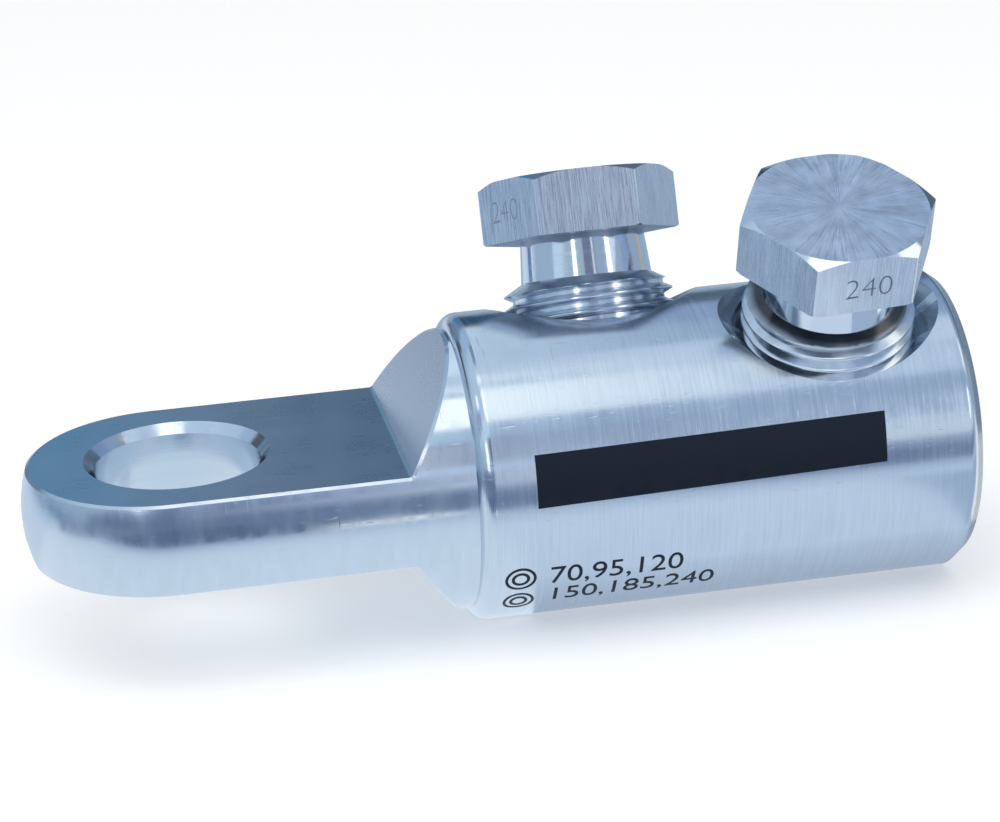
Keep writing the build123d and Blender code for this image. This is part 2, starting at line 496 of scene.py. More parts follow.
def tinned(name, colour, roughness):
    """Metal with a colour and a roughness of the finish settings."""
    finish = bpy.context.scene.lug_finish
    return Finish(name, getattr(finish, colour), getattr(finish, f"{roughness}_roughness"))


# Metals with one kind of marks: colour and roughness of the finish, scale and detail of the marks,
# least and most roughness times the finish's own, and depth of the marks in millimetres
MARKED_METALS = {
    "drilled_tin": ("tin", "turned", (60, 60, 3000), 3, (0.6, 1.0), 0.001),
    # The countersunk metal takes the darker recess colour: painted shade in the countersinks
    "countersunk_tin": ("shaded_recess", "turned", (90, 90, 2200), 4, (0.8, 1.4), 0.002),
    "bored_tin": ("tin", "milled", (3500, 60, 60), 4, (1.0, 1.4), 0.004),
    "polished_neck": ("bolt", "polished", (50, 50, 4000), 3, (0.6, 1.4), None),
}


def marked_metal(name):
    colour, roughness, scale, detail, reach, depth = MARKED_METALS[name]
    metal = tinned(name, colour, roughness)
    marks = metal.stretched_noise(scale, detail)
    metal.roughness_from(marks, *reach)
    if depth is not None:
        metal.bump(marks, depth * MM)
    return metal.material


def turned_metal():
    metal = tinned("turned_tin", "tin", "turned")
    marks = metal.stretched_noise((4200, 120, 120), 5)
    cloud = metal.stretched_noise((260, 260, 260), 4)
    metal.roughness_from(metal.blend(marks, cloud, 0.5), 0.8, 1.25)
    metal.shaded(metal.blend(marks, cloud, 0.35), 0.95, 1.04)
    turning = metal.bump(marks, 0.0009 * MM)
    metal.scratches(((7000, 330, 330), (900, 7000, 500), (900, 500, 7000)), 0.25, 0.006 * MM, turning)
    metal.grain("X", 0.55)
    return metal.material


def side_metal():
    """Metal of the palm's sides, which is rougher towards the tip."""
    metal = tinned("side_tin", "tin", "turned")
    marks = metal.stretched_noise((700, 260, 260), 6)
    metal.roughness_from(marks, 0.55, 1.0)
    metal.rougher_towards("X", 4 * MM, -14 * MM, 0.09)
    metal.shaded(marks, 0.97, 1.02)
    milling = metal.bump(marks, 0.0012 * MM)
    metal.scratches(((7000, 500, 330), (600, 500, 7000)), 0.24, 0.006 * MM, milling)
    return metal.material


def milled_metal():
    metal = tinned("milled_tin", "tin", "milled")
    marks = metal.stretched_noise((220, 1800, 900), 1)
    cloud = metal.stretched_noise((200, 160, 160), 2)
    metal.roughness_from(metal.blend(marks, cloud, 0.7), 0.95, 1.05)
    metal.shaded(metal.blend(marks, cloud, 0.6), 0.985, 1.015)
    return metal.material


# Faced metal under the heads, darkened partly as painted shade
def shaded_underside_metal():
    metal = tinned("head_underside", "underside", "faced")
    rays = metal.stretched_noise((1, 1, 1), 4, metal.spokes(30))
    metal.roughness_from(rays, 1.0, 1.4)
    return metal.material


def drawn_metal():
    metal = tinned("drawn_flats", "bolt", "drawn")
    streaks = metal.stretched_noise((8000, 8000, 260), 5)
    patches = metal.stretched_noise((900, 900, 300), 5)
    metal.roughness_from(streaks, 0.7, 1.3)
    metal.shaded(metal.blend(streaks, patches, 0.35), 0.86, 1.11, 0.38, 0.62)
    metal.bump(streaks, 0.003 * MM)
    return metal.material


def faced_metal():
    metal = tinned("faced_top", "bolt", "faced")
    rays = metal.stretched_noise((1, 1, 420), 7, metal.spokes(40, 260))
    sheen_fans = metal.stretched_noise((1, 1, 1), 3, metal.spokes(3.2, 40))
    smears = metal.stretched_noise((420, 420, 420), 4)
    # The colour paints the sheen of the facing marks: fine rays and broad light and dark fans, over random smears of
    # the metal's own tone
    metal.roughness_from(rays, 0.7, 1.3)
    metal.shaded(metal.blend(metal.blend(rays, sheen_fans, 0.5), smears, 0.45), 0.84, 1.18, 0.4, 0.6)
    metal.bump(rays, 0.006 * MM)
    metal.grain("Z", 0.5)
    return metal.material


def threaded_metal(bolt, neck_foot):
    """Metal of a thread and of the bevel over it, with painted shade that darkens the bevel at the neck of the
    cable-end bolt.
    """
    bevel_length = bpy.context.scene.lug_bolt.bevel_length
    metal = tinned(f"{bolt}_cut_thread", "bolt", "polished")
    marks = metal.stretched_noise((500, 500, 1500), 4)
    metal.roughness_from(marks, 1.3, 2.4)
    metal.shaded(marks, 0.9, 1.08)
    metal.bump(marks, 0.003 * MM)
    # Painted shade: the bevel darkens towards the neck
    if BEVEL_PAINTED_SHADE[bolt] < 1:
        metal.shaded_along("Z", neck_foot - bevel_length, neck_foot - 0.35 * bevel_length, BEVEL_PAINTED_SHADE[bolt])
    return metal.material


def ink():
    paint = Finish("print_ink", bpy.context.scene.lug_print.ink, 0.4, metallic=0.0)
    paint.set("Specular IOR Level", 0.22)
    paint.roughness_from(paint.stretched_noise((900, 900, 900), 4), 0.75, 1.25)
    return paint.material


def engraved_metal(bolt):
    """Metal in the cut numbers, which are fainter on the palm-end bolt."""
    clear = {"palm_end": 1.7, "cable_end": 1.0}[bolt]
    tint = [part * clear for part in bpy.context.scene.lug_print.engraving]
    metal = Finish(f"{bolt}_engraving", tint, 0.5, metallic=0.6)
    metal.roughness_from(metal.stretched_noise((6000, 6000, 6000), 2), 0.9, 1.4)
    return metal.material


# The lug's pieces

def bolt_points(bolt):
    return node_points(f"{bolt}_shear_bolt", bolt_matrix(bolt))


def hexagon_phase(bolt):
    """Angle of a corner of the bolt's hexagon, and its radius."""
    points = bolt_points(bolt)
    reach = np.hypot(points[:, 0], points[:, 1])
    far = points[reach.argmax()]
    return atan2(far[1], far[0]), reach.max()


def thread_depth(place):
    """Depth of an ISO thread, in pitches, at a place in pitches from the middle of a crest."""
    crest_half, root_half, full = 1 / 16, 1 / 8, 0.6134
    away = abs((place + 0.5) % 1.0 - 0.5)
    flank = (away - crest_half) / (0.5 - root_half - crest_half)
    return full * min(max(flank, 0.0), 1.0)


# Slots of a bolt
FACED, DRAWN, POLISHED, CUT, UNDERSIDE = range(5)


def bolt_columns(phase):
    """Angles of a bolt's columns: even steps, and a close pair at each corner of the hexagon."""
    step, edge = radians(1.5), radians(0.45)
    columns = [phase + index * step for index in range(240) if index % 40]
    for corner in range(6):
        columns += [phase + corner * pi / 3 - edge, phase + corner * pi / 3 + edge]
    columns.sort()
    return columns + [columns[0] + 2 * pi]


def bolt_mesh(bolt):
    """Bolt with its helical thread, in its own frame, and the height of its neck's foot."""
    sizes = bpy.context.scene.lug_bolt
    phase, corner_radius = hexagon_phase(bolt)
    heights = bolt_points(bolt)[:, 2]
    top, rivet_end = heights.max(), heights.min()
    flat_radius = corner_radius * cos(pi / 6)
    slope = tan(sizes.head_chamfer)
    underside = top - sizes.head_height
    neck_foot = underside - sizes.neck_length
    bevel_foot = neck_foot - sizes.bevel_length
    shank_tip = bevel_foot - sizes.thread_length
    crest = sizes.thread_diameter / 2
    neck_radius = sizes.neck_foot_diameter / 2
    top_circle, foot_circle = sizes.head_top_diameter / 2, sizes.head_foot_diameter / 2
    pitch = sizes.pitch
    knots = 24
    first_crest = neck_foot - CREST_DROP[bolt]
    turns = range(-1, ceil((neck_foot - shank_tip) / pitch) + 2)

    def shank_radius(turn, height):
        place = (height - first_crest) / pitch - turn / (2 * pi)
        cut = crest - pitch * thread_depth(place)
        bevel = neck_radius + (neck_foot - height) * (crest - neck_radius) / sizes.bevel_length
        tip = crest - sizes.tip_chamfer + (height - shank_tip)
        return min(cut, bevel, tip)

    def rows_at(turn):
        corner = pi / 3
        away = (turn - phase + corner / 2) % corner - corner / 2
        side = flat_radius / cos(corner / 2 - abs(away))
        side = min(side, corner_radius - sizes.corner_break)
        upper = top - max(side - top_circle, 0) * slope
        lower = underside + max(side - foot_circle, 0) * slope
        rows = [
            (0, top, FACED),
            (min(side, top_circle) / 2, top, FACED),
            (min(side, top_circle), top, POLISHED),
            (side, upper, DRAWN),
            (side, lower, POLISHED),
            (min(side, foot_circle), underside, UNDERSIDE),
            (sizes.neck_top_diameter / 2, underside, POLISHED),
            (neck_radius, neck_foot, POLISHED),
        ]
        helix = pitch * turn / (2 * pi)
        for whole in turns:
            for knot in reversed(range(knots)):
                height = first_crest + (knot / knots - whole) * pitch + helix
                height = min(max(height, shank_tip), neck_foot)
                rows.append((shank_radius(turn, height), height, CUT))
        return rows + [
            (shank_radius(turn, shank_tip), shank_tip, FACED),
            (sizes.rivet_diameter / 2, shank_tip, POLISHED),
            (sizes.rivet_diameter / 2, rivet_end + sizes.rivet_head_length, POLISHED),
            (sizes.rivet_head_diameter / 2, rivet_end, FACED),
            (0, rivet_end, FACED),
        ]

    return turned_mesh(f"{bolt}_bolt", bolt_columns(phase), rows_at), neck_foot


# Slots of the lug's body
TURNED, SIDE, MILLED, DRILLED, COUNTERSUNK, BORED = range(6)


class CABLELUG_OT_body(bpy.types.Operator):
    """Give the lug's body its turned, milled and drilled finishes"""

    bl_idname = "cable_lug.body"
    bl_label = "Lug body"

    def execute(self, context):
        piece = solid_copy("lug_body_finished", "lug_body")
        barrel, end, shoulder_end, tube = (LUG[key] for key in ("barrel", "end", "shoulder_end", "shoulder_round"))
        normals = SolidNormals(piece.data)
        middle = normals.points.mean(axis=1)
        along, reach = middle[:, 0], np.hypot(middle[:, 1], middle[:, 2])
        upright = abs(normals.faces[:, 2])
        chamfered_hole = RECORD_MOUNTS["palm_hole"]["dims"]["r_mm"] * MM + 1.5 * MM
        off_hole = np.hypot(middle[:, 0], middle[:, 1]) > chamfered_hole
        on_palm = along < shoulder_end
        milled = (abs(normals.faces[:, 1]) < 0.001) & on_palm & (off_hole | (upright > 0.99))
        end_face = normals.faces[:, 0] > 0.999
        normals.free &= ~milled & ~end_face

        dome = normals.ball((LUG["dome_centre"], 0, 0), LUG["neck"])
        shoulder = normals.ring((shoulder_end, 0, 0), ALONG, barrel - tube, tube)
        normals.turned(ORIGIN, ALONG)
        drilled = normals.turned(ORIGIN, (0, 0, 1))
        countersunk = np.zeros_like(dome)
        for bolt in BOLTS:
            matrix = bolt_matrix(bolt)
            countersunk |= normals.turned(matrix.translation, matrix.col[2].to_3d())
        corners = normals.points[..., 0]
        on_barrel = np.hypot(normals.points[..., 1], normals.points[..., 2]) > barrel - 0.01 * MM
        chamfer_start = corners[on_barrel & (corners > end - 3 * MM) & (corners < end)].max()
        normals.rounded_end(chamfer_start, end)
        normals.soften(normals.free & on_palm)
        normals.apply()

        outside = dome | shoulder | (reach > OUTER_FLOOR)
        outside |= (along > end - 1.2 * MM) & (abs(normals.faces[:, 0]) > 0.3)
        upper_face = RECORD_MOUNTS["palm_washer_face"]["pos_m"][2]
        rim = (abs(middle[:, 2]) > upper_face - 0.35 * MM) & (upright > 0.3) | normals.free
        rim &= (upright < 0.96) & off_hole & ~milled & on_palm
        indices = np.full(len(along), TURNED, np.int32)
        indices[outside & (along < shoulder_end - tube)] = SIDE
        indices[milled] = MILLED
        indices[drilled] = DRILLED
        indices[countersunk] = COUNTERSUNK
        indices[~milled & ~drilled & ~countersunk & ~outside] = BORED
        indices[rim] = SIDE
        piece.data.polygons.foreach_set("material_index", indices)
        shaped = [turned_metal(), side_metal(), milled_metal()]
        for material in shaped + [marked_metal(name) for name in ("drilled_tin", "countersunk_tin", "bored_tin")]:
            piece.data.materials.append(material)
        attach(piece, "lug")
        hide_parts("lug_body")
        return {"FINISHED"}


class CABLELUG_OT_bolts(bpy.types.Operator):
    """Make both shear bolts, with drawn flats, a polished neck and a cut thread"""

    bl_idname = "cable_lug.bolts"
    bl_label = "Shear bolts"

    def execute(self, context):
        shared = [faced_metal(), drawn_metal(), marked_metal("polished_neck"), None, shaded_underside_metal()]
        for bolt in BOLTS:
            mesh, neck_foot = bolt_mesh(bolt)
            for material in shared:
                mesh.materials.append(material or threaded_metal(bolt, neck_foot))
            shade(mesh, 22)
            piece = mesh_object(f"{bolt}_bolt_finished", mesh, bolt_matrix(bolt))
            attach(piece, f"{bolt}_bolt")
            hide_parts(f"{bolt}_shear_bolt")
        return {"FINISHED"}


class CABLELUG_OT_pads(bpy.types.Operator):
    """Give the pressure pads their turned finish"""

    bl_idname = "cable_lug.pads"
    bl_label = "Pressure pads"

    def execute(self, context):
        material = marked_metal("polished_neck")
        for bolt in BOLTS:
            matrix = bolt_matrix(bolt)
            axis = matrix.col[2].to_3d()
            piece = turned_copy(f"{bolt}_pad_finished", f"{bolt}_pressure_pad", axis, matrix.translation)
            piece.data.materials.append(material)
            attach(piece, f"{bolt}_pad")
            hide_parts(f"{bolt}_pressure_pad")
        return {"FINISHED"}


class CABLELUG_OT_insert(bpy.types.Operator):
    """Give the centring insert its satin finish"""

    bl_idname = "cable_lug.insert"
    bl_label = "Centring insert"

    def execute(self, context):
        seat = (0, 0, RECORD_MOUNTS["conductor_seat"]["pos_m"][2])
        piece = turned_copy("centring_insert_finished", "centring_insert", ALONG, ORIGIN, seat)
        piece.data.materials.append(milled_metal())
        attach(piece, "lug")
        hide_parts("centring_insert")
        return {"FINISHED"}


# Print on the barrel and numbers on the heads

# Corners of the plain dark field: millimetres along the barrel, degrees from the crown to the front
FIELD_CORNERS = ((34.26, 67.2), (70.39, 65.2), (70.27, 83.8), (34.21, 86.6))
# Middle and radii of each ring of the two small pictures, in millimetres along and degrees round
PICTURES = ((32.4, 116.7), (32.4, 130.9))
RING_RADII = ((1.62, 1.32), (0.95, 0.62))
# Number rows: start along the barrel, degrees round, and the numbers
NUMBER_ROWS = ((35.3, 120.8, "70,95,120"), (35.3, 133.0, "150,185,240"))


def barrel_point(along, around, lift):
    """Point on the barrel: millimetres along it, degrees from the crown towards the front."""
    radius = LUG["barrel"] + lift
    turn = radians(around)
    return Vector((along * MM, -radius * sin(turn), radius * cos(turn)))


def degrees_round(arc):
    """Degrees round the barrel for millimetres along its surface."""
    return degrees(arc * MM / LUG["barrel"])


def rim_of(grid):
    """The outer points of a grid, in order round it."""
    right = [row[-1] for row in grid[1:]]
    left = [row[0] for row in grid[-2:0:-1]]
    return grid[0] + right + grid[-1][-2::-1] + left


def sheet(name, rows, lift):
    """Thin closed sheet of ink over rows of (along, around) points, which grips the metal."""
    body = bmesh.new()
    rims = []
    for height, order in ((lift, 1), (-lift, -1)):
        layer = [[body.verts.new(barrel_point(*spot, height)) for spot in row] for row in rows]
        rims.append(rim_of(layer))
        for first, second in zip(layer, layer[1:]):
            for column in range(len(first) - 1):
                corners = (first[column], second[column], second[column + 1], first[column + 1])
                body.faces.new(corners[::order])
    pairs = list(zip(*rims))
    for (outer, inner), (next_outer, next_inner) in zip(pairs, pairs[1:] + pairs[:1]):
        body.faces.new((outer, next_outer, next_inner, inner))
    bmesh.ops.recalc_face_normals(body, faces=body.faces)
    return finished(body, name)


def field_rows(down_steps=16, along_steps=24):
    """Points of the dark field, spread evenly between its corners."""
    def between(first, second, part):
        return tuple((1 - part) * a + part * b for a, b in zip(first, second))

    upper_left, upper_right, lower_right, lower_left = FIELD_CORNERS
    rows = []
    for row in range(down_steps + 1):
        line = []
        for column in range(along_steps + 1):
            top = between(upper_left, upper_right, column / along_steps)
            foot = between(lower_left, lower_right, column / along_steps)
            line.append(between(top, foot, row / down_steps))
        rows.append(line)
    return rows


def ring_rows(middle, outer, inner, count=48):
    """Pairs of points on the outer and inner circle of a ring."""
    rows = []
    for index in range(count + 1):
        turn = 2 * pi * index / count
        circle = [(radius * cos(turn), degrees_round(radius * sin(turn))) for radius in (outer, inner)]
        rows.append([(middle[0] + x, middle[1] + down) for x, down in circle])
    return rows


def number_mesh(name, text, height, depth, weight=0.0):
    """Solid numerals from Blender's own font in the XY plane, cut into bands that can be bent."""
    digit_share, bands = 0.73, 8
    curve = bpy.data.curves.new(name, "FONT")
    curve.body = text
    curve.size = height / digit_share
    curve.resolution_u = 6
    curve.extrude = depth
    curve.offset = weight
    holder = mesh_object(name, curve)
    mesh = bpy.data.meshes.new_from_object(holder.evaluated_get(bpy.context.evaluated_depsgraph_get()))
    bpy.data.objects.remove(holder)
    bpy.data.curves.remove(curve)
    body = bmesh.new()
    body.from_mesh(mesh)
    bmesh.ops.remove_doubles(body, verts=body.verts, dist=SLIVER)
    for cut in range(-3, bands + 2):
        everything = body.verts[:] + body.edges[:] + body.faces[:]
        level = (0, cut * height / bands, 0)
        bmesh.ops.bisect_plane(body, geom=everything, dist=SLIVER, plane_co=level, plane_no=(0, 1, 0))
    bmesh.ops.triangulate(body, faces=body.faces)
    body.to_mesh(mesh)
    body.free()
    return mesh


class CABLELUG_OT_print(bpy.types.Operator):
    """Print the plain field, the small pictures and the conductor sizes on the barrel"""

    bl_idname = "cable_lug.print"
    bl_label = "Barrel print"

    def execute(self, context):
        settings = context.scene.lug_print
        material = ink()
        meshes = [sheet("printed_field", field_rows(), settings.lift)]
        for number, middle in enumerate(PICTURES):
            for ring, (outer, inner) in enumerate(RING_RADII):
                meshes.append(sheet(f"printed_ring_{number}_{ring}", ring_rows(middle, outer, inner), settings.lift))
        for start, around, text in NUMBER_ROWS:
            mesh = number_mesh("printed_numbers", text, settings.digit_height, settings.lift)
            for vertex in mesh.vertices:
                along = start + vertex.co.x / MM
                down = around - degrees_round(vertex.co.y / MM)
                vertex.co = barrel_point(along, down, vertex.co.z)
            meshes.append(mesh)
        for mesh in meshes:
            mesh.materials.append(material)
            shade(mesh, 30)
            piece = mesh_object(mesh.name, mesh)
            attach(piece, "lug")
        return {"FINISHED"}


# Number on a flat of each head: the flat's angle in degrees, then in millimetres the number's shift
# along the flat, its height over the underside and the height of its digits
HEAD_NUMBERS = {"palm_end": (204.9, -0.4, 3.3, 2.4), "cable_end": (273.1, 0.5, 3.0, 2.5)}


class CABLELUG_OT_numbers(bpy.types.Operator):
    """Cut the conductor size into one flat of each head"""

    bl_idname = "cable_lug.numbers"
    bl_label = "Head numbers"

    def execute(self, context):
        sizes = context.scene.lug_bolt
        for bolt in BOLTS:
            turn, shift, rise, height = HEAD_NUMBERS[bolt]
            _phase, corner_radius = hexagon_phase(bolt)
            underside = bolt_points(bolt)[:, 2].max() - sizes.head_height
            mesh = number_mesh(f"{bolt}_number", "240", height * MM, 0.006 * MM, -0.07 * MM)
            middle = sum((vertex.co for vertex in mesh.vertices), Vector()) / len(mesh.vertices)
            mesh.transform(Matrix.Translation((-middle.x, -middle.y, 0)))
            mesh.materials.append(engraved_metal(bolt))
            shade(mesh, 30)
            out = Vector((cos(radians(turn)), sin(radians(turn)), 0))
            aside, up = Vector((-out.y, out.x, 0)), Vector((0, 0, 1))
            upright = Matrix((aside, up, out)).transposed().to_4x4()
            upright.translation = out * corner_radius * cos(pi / 6) + up * (underside + rise * MM)
            upright.translation += aside * shift * MM
            piece = mesh_object(f"{bolt}_number", mesh, bolt_matrix(bolt) @ upright)
            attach(piece, f"{bolt}_bolt")
        return {"FINISHED"}


# Camera, floor and light

CAMERA_PLACE = Vector((-17.684, -293.393, 117.51)) * MM
CAMERA_TARGET = Vector((36.19, 14.85, 0.0)) * MM
LAMP_PLACE = Vector((-0.1, -0.35, 0.9))
LAMP_TARGET = Vector((0.03, 0, 0))
FLOOR_REACH = 3.0

# Panels round the barrel's axis. Each has its name, its first and last angle from straight up towards
# the front, its start and end along x, its colour in percent, in some the colour that it runs to, and
# its distance where that isn't the common one.
CARDS = (
    ("back_low_far_left", -90, -78, -1.8, -0.4, (50, 62, 80)),
    ("back_low_left", -90, -78, -0.4, -0.15, (14, 19, 29)),
    ("back_low", -90, -78, -0.15, 0.3, (34, 45, 55)),
    ("back_low_right", -90, -78, 0.3, 1.8, (15, 19, 28)),
    ("back_far_left", -78, -55, -1.8, -0.45, (9, 11, 14)),
    ("back_left", -78, -55, -0.45, -0.1, (17, 29, 40)),
    ("back_tip", -78, -65, -0.1, 0.03, (4, 24, 43)),
    ("back_tip_high", -65, -55, -0.1, 0.03, (13, 20, 31)),
    ("back_palm", -78, -55, 0.03, 0.08, (14, 19, 28)),
    ("back_bend", -78, -55, 0.08, 0.2, (2, 7, 14)),
    ("back_right", -78, -55, 0.2, 1.8, (11, 16, 22)),
    ("back_high_middle", -55, -30, 0.10, 0.16, (82, 96, 106)),
    ("back_high_left", -55, -30, -1.8, 0.10, (42, 56, 74)),
    ("back_high_blend", -55, -30, 0.16, 0.205, (82, 96, 106), (26, 36, 56)),
    ("back_high_right", -55, -30, 0.205, 1.8, (24, 34, 54)),
    ("top_back_middle", -30, -10, 0.10, 0.155, (87, 102, 115)),
    ("top_back_far_left", -30, -10, -1.8, -0.12, (55, 68, 84)),
    ("top_back_left", -30, -10, -0.12, 0.10, (25, 35, 47)),
    ("top_back_blend", -30, -10, 0.155, 0.205, (87, 102, 115), (32, 43, 60)),
    ("top_back_right", -30, -10, 0.205, 1.8, (30, 41, 58)),
    ("top_left", -10, 12, -1.8, 0.12, (57, 70, 85)),
    ("lamp_rim", 1, 7, -0.2, 0.13, (135, 138, 142), None, 0.74),
    ("lamp_slope", 8, 20, -0.75, -0.5, (130, 132, 136), None, 0.74),
    ("top_right", -10, 12, 0.12, 0.6, (67, 79, 93)),
    ("lamp_right", 2, 30, 0.6, 1.1, (130, 132, 135), None, 0.72),
    ("top_far_right", -10, 12, 0.6, 1.8, (30, 36, 43)),
    ("lamp_left", 12, 36, -0.55, 0.0, (59, 73, 92)),
    ("lamp_edge", 14, 34, -0.11, 0.0, (140, 145, 150), None, 0.72),
    ("softbox_far_left", 12, 38, -1.8, -0.55, (36, 43, 61)),
    ("softbox_left", 12, 38, 0.0, 0.14, (155, 158, 149)),
    ("softbox_blend", 12, 38, 0.14, 0.21, (135, 138, 136), (64, 76, 93)),
    ("softbox_right", 12, 38, 0.21, 0.35, (64, 76, 93), (52, 64, 81)),
    ("softbox_far_right", 12, 38, 0.35, 1.8, (52, 64, 81)),
    ("front_high_left", 38, 50, -1.8, 0.14, (64, 81, 97)),
    ("front_high_right", 38, 50, 0.14, 1.8, (35, 46, 63)),
    ("front_middle", 50, 68, -0.11, 0.085, (20, 23, 34), None, 0.74),
    ("front_neck", 50, 68, 0.135, 0.165, (25, 31, 45), None, 0.74),
    ("front_far_right", 50, 68, 0.56, 1.8, (80, 90, 105), None, 0.74),
    ("front_left", 50, 68, -1.8, 0.14, (42, 54, 64)),
    ("front_right", 50, 68, 0.14, 1.8, (36, 47, 63)),
    ("strip_left", 68, 74, -1.8, 0.17, (51, 69, 92)),
    ("strip_right", 68, 76, 0.17, 1.8, (62, 72, 85)),
    ("wall_left", 74, 81, -1.8, 0.06, (18, 24, 38)),
    ("wall_blend", 74, 81, 0.06, 0.15, (22, 28, 44), (50, 60, 78)),
    ("wall_glint", 81, 84.5, 0.05, 0.15, (30, 36, 50), (66, 72, 82)),
    ("wall_glint_left", 81, 84.5, -1.8, 0.05, (17, 22, 36)),
    ("wall_right", 76, 85.5, 0.15, 1.8, (74, 82, 92)),
    ("wall_low_left", 84.5, 88, -1.8, 0.05, (14, 19, 31)),
    ("wall_low_blend", 84.5, 88, 0.05, 0.15, (22, 29, 42), (36, 45, 58)),
    ("wall_foot_left", 88, 93, -1.8, 0.15, (17, 23, 36)),
    ("wall_low_right", 85.5, 93, 0.15, 1.8, (31, 40, 54)),
    ("window_left", 52, 74, -0.37, -0.28, (300, 300, 310), None, 0.7),
    ("window_middle", 52, 74, 0.09, 0.12, (90, 90, 100), None, 0.7),
    ("window_right", 52, 74, 0.43, 0.56, (300, 295, 290), None, 0.7),
    ("window_side", 52, 74, -0.95, -0.55, (51, 61, 76), None, 0.7),
)

# Level panels. Each has its name, its first x and y and its last x and y in metres, its colour in
# percent, in some the colour that it runs to in y, and its height where that isn't the common one.
TABLE = -0.0155
LEVEL_CARDS = (
    ("table_left", -0.09, -0.75, 0.02, -0.068, (12, 18, 29)),
    ("table_right", 0.02, -0.75, 1.8, -0.085, (19, 26, 39)),
    ("table_edge_left", -0.09, -0.068, 0.035, -0.045, (46, 57, 72), (70, 82, 94)),
    ("table_near_left", -0.09, -0.045, 0.035, 0.013, (70, 82, 94), (84, 91, 100)),
    ("table_edge_right", 0.035, -0.085, 1.8, -0.05, (42, 54, 70), (66, 77, 91)),
    ("table_near_right", 0.035, -0.05, 0.082, -0.016, (70, 81, 94), (66, 76, 90)),
    ("table_near_end", 0.082, -0.05, 1.8, -0.016, (42, 53, 69)),
    # Dark panels under the barrel: painted shadow on the floor beneath it, seen only in reflections
    ("table_under_front", 0.035, -0.016, 0.09, -0.006, (62, 72, 86), (40, 47, 58)),
    ("table_under", 0.035, -0.006, 0.09, 0.013, (45, 51, 60)),
    ("table_neck", -1.2, 0.3, -0.45, 0.6, (85, 97, 112), None, TABLE + 0.5 * MM),
    ("table_behind_left", -0.09, 0.013, 0.0, 0.75, (70, 79, 92)),
    ("table_behind", 0.0, 0.017, 1.8, 0.75, (36, 48, 62)),
    ("table_far_front", -1.8, -0.75, -0.09, 0.0, (21, 29, 42)),
    ("table_far_back", -1.8, 0.0, -0.15, 0.75, (14, 25, 42)),
    ("table_middle_back", -0.15, 0.0, -0.09, 0.75, (60, 74, 92)),
)

# Upright panels across x. Each has its name, its x, its first and last y, its top and its colour in
# percent.
END_CARDS = (
    ("end_left", -1.8, -0.75, 0.75, 0.75, (39, 52, 67)),
    ("end_right", 1.8, -0.75, 0.75, 0.75, (36, 44, 58)),
    ("end_ochre", 1.79, 0.55, 0.75, 0.25, (58, 47, 27)),
)


def emitting(name, colour, blend=None):
    """Light of a colour in percent, or one that runs to a far colour between two places along an axis."""
    material = bpy.data.materials.new(name)
    material.use_nodes = True
    tree = material.node_tree
    tree.nodes.remove(tree.nodes["Principled BSDF"])
    shown = (*(part / 100 for part in colour), 1)
    if blend is not None:
        far, axis, start, end = blend
        where = add_node(tree, "TexCoord").outputs["Object"]
        place = add_node(tree, "SeparateXYZ", {0: where}).outputs[axis]
        run = add_node(tree, "MapRange", {"Value": place, "From Min": start, "From Max": end})
        inputs = {"A": shown, "B": (*(part / 100 for part in far), 1), "Factor": run.outputs["Result"]}
        shown = add_node(tree, "Mix", inputs, data_type="RGBA").outputs["Result"]
    light = add_node(tree, "Emission", {"Color": shown})
    tree.links.new(light.outputs[0], tree.nodes["Material Output"].inputs["Surface"])
    return material


def plain_mesh(name, points, faces, material):
    mesh = bpy.data.meshes.new(name)
    mesh.from_pydata(points, [], faces)
    mesh.materials.append(material)
    return mesh_object(name, mesh)


def level_points(first_x, first_y, last_x, last_y, height):
    places = ((first_x, first_y), (last_x, first_y), (last_x, last_y), (first_x, last_y))
    return [(*place, height) for place in places]


def reflected_card(name, points, colour, blend=None, faces=((0, 1, 2, 3),)):
    """Panel that only reflections show."""
    card = plain_mesh(name, points, faces, emitting(name, colour, blend))
    card.visible_camera = False
    card.visible_diffuse = False
    card.visible_shadow = False


def bent_card(name, first, last, start, end, colour, far=None, distance=0.75):
    """Panel bent round the barrel's axis, in steps of about 3 degrees."""
    count = max(2, ceil((last - first) / 3))
    points = []
    for index in range(count + 1):
        turn = radians(first + (last - first) * index / count)
        points += [(x, -distance * sin(turn), distance * cos(turn)) for x in (start, end)]
    faces = [(base, base + 1, base + 3, base + 2) for base in range(0, 2 * count, 2)]
    reflected_card(name, points, colour, far and (far, "X", start, end), faces)


def level_card(name, first_x, first_y, last_x, last_y, colour, far=None, height=TABLE):
    points = level_points(first_x, first_y, last_x, last_y, height)
    reflected_card(name, points, colour, far and (far, "Y", first_y, last_y))


def end_card(name, x, first, last, top, colour):
    points = [(x, first, TABLE), (x, last, TABLE), (x, last, top), (x, first, top)]
    reflected_card(name, points, colour)


def seen_share(tree):
    """1 on rays of the camera, reflections and glass, else 0."""
    path = add_node(tree, "LightPath")
    total = path.outputs["Is Camera Ray"]
    for name in ("Is Glossy Ray", "Is Transmission Ray"):
        total = add_node(tree, "Math", {0: total, 1: path.outputs[name]}, operation="MAXIMUM").outputs[0]
    return total


def floor_material():
    """Matt floor with a faint glow that only the camera and reflections see."""
    settings = bpy.context.scene.lug_stage
    floor = Finish("floor", settings.floor, 1.0, metallic=0.0)
    floor.set("Specular IOR Level", 0.0)
    floor.set("Emission Color", (1, 1, 1, 1))
    floor.set("Emission Strength", floor.math("MULTIPLY", seen_share(floor.material.node_tree), settings.glow))
    return floor.material


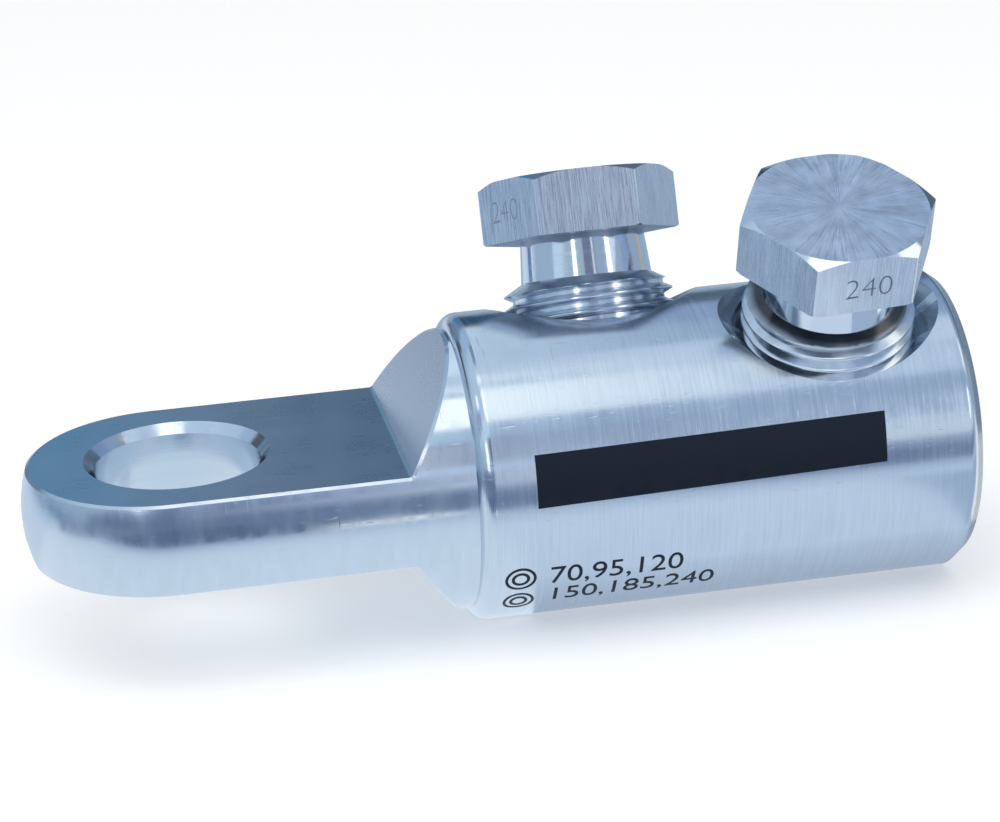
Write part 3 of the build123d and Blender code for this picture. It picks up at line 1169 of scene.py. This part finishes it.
class CABLELUG_OT_stage(bpy.types.Operator):
    """Set the floor, the light and the camera"""

    bl_idname = "cable_lug.stage"
    bl_label = "Stage"

    def execute(self, context):
        scene = context.scene
        scene.view_settings.view_transform = "Standard"
        settings = scene.lug_stage
        points = level_points(-FLOOR_REACH, -FLOOR_REACH, FLOOR_REACH, FLOOR_REACH, cad_low.z - 0.05 * MM)
        floor = plain_mesh("floor", points, [(0, 1, 2, 3)], floor_material())
        for card in CARDS:
            bent_card(*card)
        for card in LEVEL_CARDS:
            level_card(*card)
        for card in END_CARDS:
            end_card(*card)

        scene.world = bpy.data.worlds.new("studio")
        scene.world.use_nodes = True
        tree = scene.world.node_tree
        fill = add_node(tree, "MapRange", {"Value": seen_share(tree), "To Min": settings.fill, "To Max": 1.0})
        feed(tree, tree.nodes["Background"].inputs["Color"], (1, 1, 1, 1))
        feed(tree, tree.nodes["Background"].inputs["Strength"], fill.outputs["Result"])

        lamp = bpy.data.lights.new("softbox", "AREA")
        lamp.shape = "RECTANGLE"
        lamp.size = 1.2
        lamp.size_y = 0.9
        lamp.energy = settings.lamp
        softbox = bpy.data.objects.new("softbox", lamp)
        softbox.location = LAMP_PLACE
        softbox.rotation_euler = (LAMP_TARGET - LAMP_PLACE).to_track_quat("-Z", "Y").to_euler()
        softbox.visible_glossy = False
        scene.collection.objects.link(softbox)

        camera = bpy.data.objects.new("camera", bpy.data.cameras.new("camera"))
        camera.data.sensor_width = 36
        camera.data.lens = settings.lens
        camera.data.clip_start = 0.01
        facing = (CAMERA_TARGET - CAMERA_PLACE).to_track_quat("-Z", "Y").to_matrix()
        rolled = facing @ Matrix.Rotation(settings.roll, 3, "Z")
        camera.matrix_world = Matrix.Translation(CAMERA_PLACE) @ rolled.to_4x4()
        scene.collection.objects.link(camera)
        scene.camera = camera
        return {"FINISHED"}


class CABLELUG_PT_panel(bpy.types.Panel):
    """Cable lug"""

    bl_idname = "CABLELUG_PT_panel"
    bl_label = "Cable lug"
    bl_space_type = "VIEW_3D"
    bl_region_type = "UI"
    bl_category = "Cable lug"

    def draw(self, context):
        layout = self.layout
        for attribute, group in PROPERTY_GROUPS.items():
            box = layout.box()
            for name in group.__annotations__:
                box.prop(getattr(context.scene, attribute), name)
        for operator in OPERATORS:
            layout.operator(operator.bl_idname)


OPERATORS = (
    CABLELUG_OT_body,
    CABLELUG_OT_bolts,
    CABLELUG_OT_pads,
    CABLELUG_OT_insert,
    CABLELUG_OT_print,
    CABLELUG_OT_numbers,
    CABLELUG_OT_stage,
)


def register():
    for attribute, group in PROPERTY_GROUPS.items():
        bpy.utils.register_class(group)
        setattr(bpy.types.Scene, attribute, PointerProperty(type=group))
    for shown in (*OPERATORS, CABLELUG_PT_panel):
        bpy.utils.register_class(shown)


def unregister():
    for shown in (CABLELUG_PT_panel, *reversed(OPERATORS)):
        bpy.utils.unregister_class(shown)
    for attribute, group in PROPERTY_GROUPS.items():
        delattr(bpy.types.Scene, attribute)
        bpy.utils.unregister_class(group)


def main():
    register()
    bpy.ops.cable_lug.body()
    bpy.ops.cable_lug.bolts()
    bpy.ops.cable_lug.pads()
    bpy.ops.cable_lug.insert()
    bpy.ops.cable_lug.print()
    bpy.ops.cable_lug.numbers()
    bpy.ops.cable_lug.stage()


if __name__ == "__main__":
    main()
